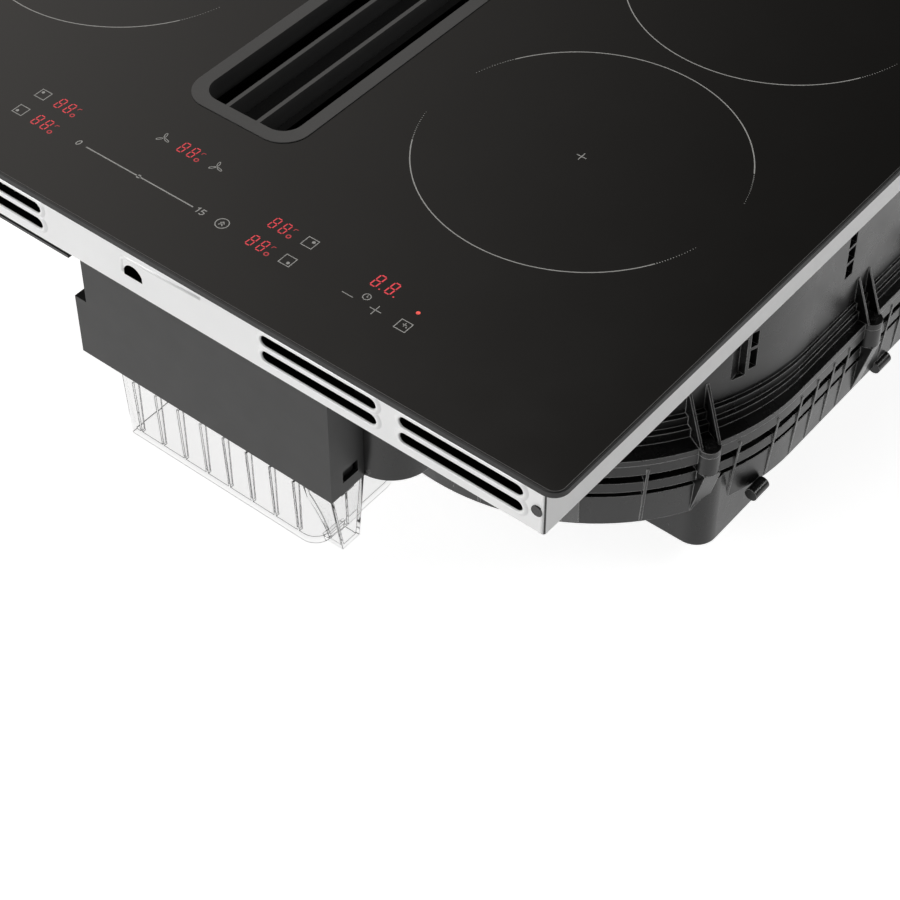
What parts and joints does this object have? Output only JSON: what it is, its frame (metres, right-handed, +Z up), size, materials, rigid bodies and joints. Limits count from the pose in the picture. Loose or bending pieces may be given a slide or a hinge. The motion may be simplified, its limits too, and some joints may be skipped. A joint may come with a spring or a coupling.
{
  "type": "downdraft induction cooktop",
  "caption": "Black glass induction hob with a long air intake down its middle, a blower and plenum under its steel tray and a clear liquid tank.",
  "frame": {"origin": "centre of the worktop cut-out, on the worktop's top face", "axes": "+X to the right, +Y to the back of the worktop, +Z up"},
  "size_m": [0.59, 0.52, 0.2371],
  "materials": {
    "black_glass": "polished black ceramic glass",
    "soft_rubber": "soft matt",
    "grille_coating": "fine matt grey coating",
    "black_plastic": "moulded, slightly satin",
    "zinc_steel": "bright zinc-coated sheet",
    "screw_steel": "plain steel",
    "aluminium_sheet": "mill finish",
    "circuit_board": "solder resist",
    "component_grey": "moulded",
    "red_display": "dark red window",
    "mica_sheet": "pressed mica",
    "clear_plastic": "clear moulded",
    "motor_copper": "enamelled wire and core",
    "copper_litz": "copper-coloured wound wire",
    "carrier_plastic": "light moulded",
    "ferrite": "sintered, matt"
  },
  "bodies": {
    "base": {"base_cover": "black_plastic", "blower_lower_shell": "black_plastic", "blower_upper_shell": "black_plastic", "board_parts_left": "component_grey", "board_parts_right": "component_grey", "cable_gland": "black_plastic", "coil_carrier_back_left": "carrier_plastic", "coil_carrier_back_right": "carrier_plastic", "coil_carrier_front_left": "carrier_plastic", "coil_carrier_front_right": "carrier_plastic", "coil_plate_left": "aluminium_sheet", "coil_plate_right": "aluminium_sheet", "coil_winding_back_left": "copper_litz", "coil_winding_back_right": "copper_litz", "coil_winding_front_left": "copper_litz", "coil_winding_front_right": "copper_litz", "cooling_fan_housing_left": "black_plastic", "cooling_fan_housing_right": "black_plastic", "display_modules": "red_display", "driver_board": "circuit_board", "driver_box": "black_plastic", "ferrite_bars_back_left": "ferrite", "ferrite_bars_back_right": "ferrite", "ferrite_bars_front_left": "ferrite", "ferrite_bars_front_right": "ferrite", "glass_top": "black_glass", "heat_sink_left": "aluminium_sheet", "heat_sink_right": "aluminium_sheet", "hem_screws": "screw_steel", "housing_screws": "screw_steel", "inlet_nozzle": "black_plastic", "intake_shaft": "black_plastic", "light_frame": "black_plastic", "mica_sheet_left": "mica_sheet", "mica_sheet_right": "mica_sheet", "motor_stator": "motor_copper", "outlet_spigot": "black_plastic", "plenum_lid": "black_plastic", "plenum_seal": "soft_rubber", "power_board_left": "circuit_board", "power_board_right": "circuit_board", "tank_housing": "black_plastic", "temperature_sensors": "component_grey", "terminal_block": "black_plastic", "terminal_cover": "black_plastic", "touch_board": "circuit_board", "touch_brackets": "black_plastic", "tray_casing": "zinc_steel", "worktop_seal": "soft_rubber"},
    "grille": {"intake_grille": "grille_coating"},
    "filter": {"filter_frame": "zinc_steel", "filter_baffles": "zinc_steel"},
    "tank": {"liquid_tank": "clear_plastic", "tank_latches": "black_plastic", "tank_seal": "soft_rubber"},
    "wheel": {"fan_wheel": "black_plastic", "motor_rotor": "zinc_steel"},
    "rotor_left": {"cooling_fan_rotor_left": "black_plastic"},
    "rotor_right": {"cooling_fan_rotor_right": "black_plastic"}
  },
  "joints": [
    {"name": "grille_lift", "type": "slide", "parent": "base", "child": "grille", "axis": [0, 0, 1], "range_m": [0, 0.12]},
    {"name": "filter_lift", "type": "slide", "parent": "base", "child": "filter", "axis": [0, 0, 1], "range_m": [0, 0.06]},
    {"name": "tank_drop", "type": "slide", "parent": "base", "child": "tank", "axis": [0, 0, -1], "range_m": [0, 0.06]},
    {"name": "wheel_spin", "type": "hinge", "parent": "base", "child": "wheel", "pos_m": [0.118, -0.002, -0.1761], "axis": [0, 0, 1], "continuous": true},
    {"name": "rotor_left_spin", "type": "hinge", "parent": "base", "child": "rotor_left", "pos_m": [-0.12, 0.172, -0.036], "axis": [0, 0, 1], "continuous": true},
    {"name": "rotor_right_spin", "type": "hinge", "parent": "base", "child": "rotor_right", "pos_m": [0.12, 0.172, -0.036], "axis": [0, 0, 1], "continuous": true}
  ],
  "couplings": [
    {"joint": "filter_lift", "follows": "grille_lift", "ratio": 0.5}
  ]
}
